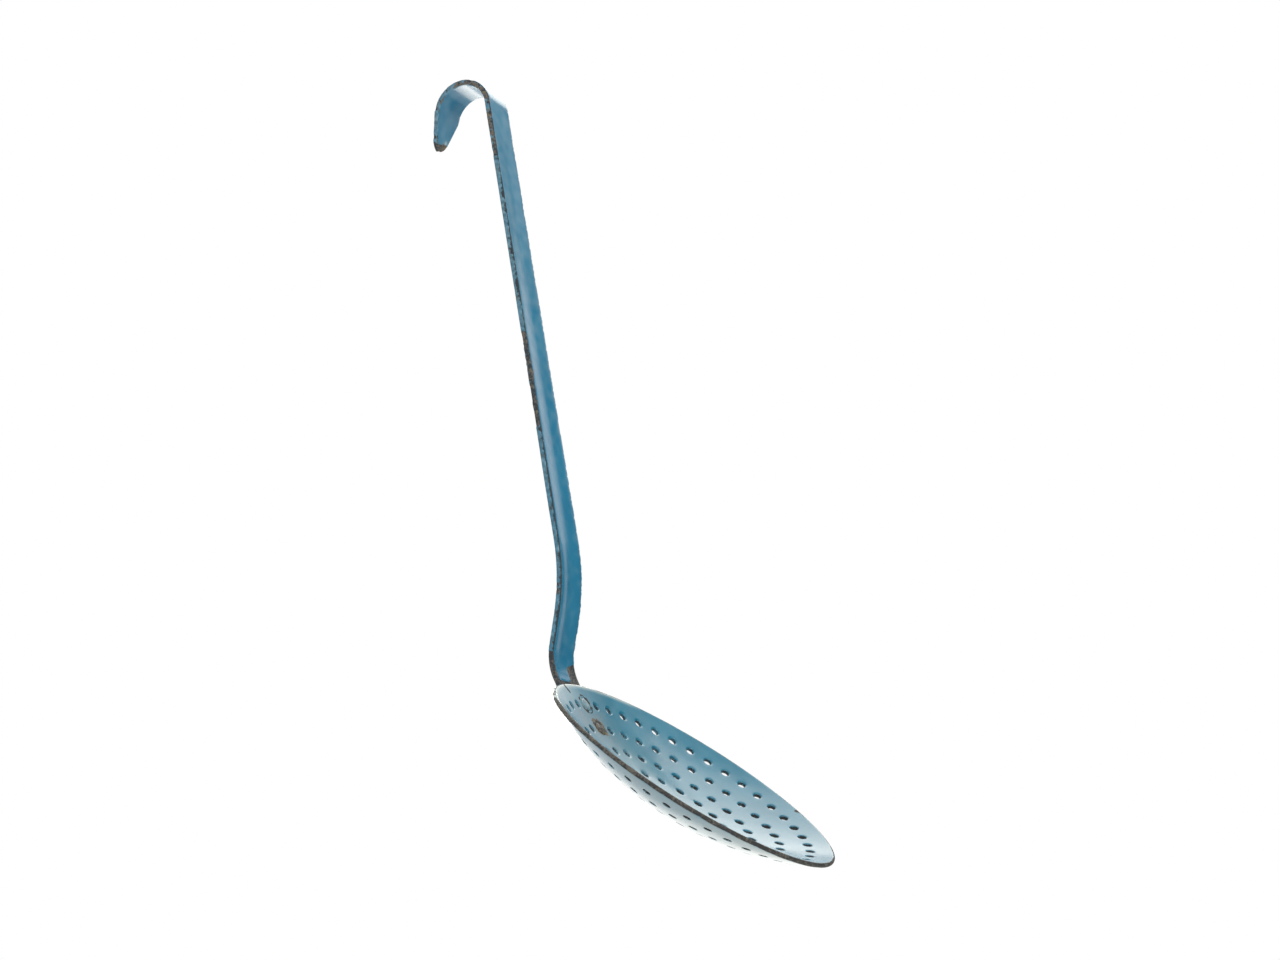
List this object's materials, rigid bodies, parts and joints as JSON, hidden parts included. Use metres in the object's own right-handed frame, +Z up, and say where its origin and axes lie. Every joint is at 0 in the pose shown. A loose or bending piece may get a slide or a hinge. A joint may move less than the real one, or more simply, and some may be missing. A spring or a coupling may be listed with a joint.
{
  "type": "handled sieve",
  "caption": "Shallow round dish full of drain holes, riveted to a long channelled strip handle that ends in a hanging hook.",
  "frame": {"origin": "centre of the hook's bend, on the axis of the rail that the sieve hangs from", "axes": "+Z up along the straight of the handle, +X from the handle towards the dish, +Y along the rail; the sieve is stored hanging with its handle upright"},
  "size_m": [0.111, 0.1218, 0.3419],
  "materials": {
    "dish_enamel": "gloss vitreous enamel over pressed steel, bare and brown on the rim",
    "handle_enamel": "gloss vitreous enamel over pressed steel, chipped along the edges",
    "rivet_enamel": "gloss vitreous enamel over steel, chipped round the heads"
  },
  "bodies": {
    "root": {"dish": "dish_enamel", "handle": "handle_enamel", "outer_rivet": "rivet_enamel", "inner_rivet": "rivet_enamel"}
  },
  "joints": []
}
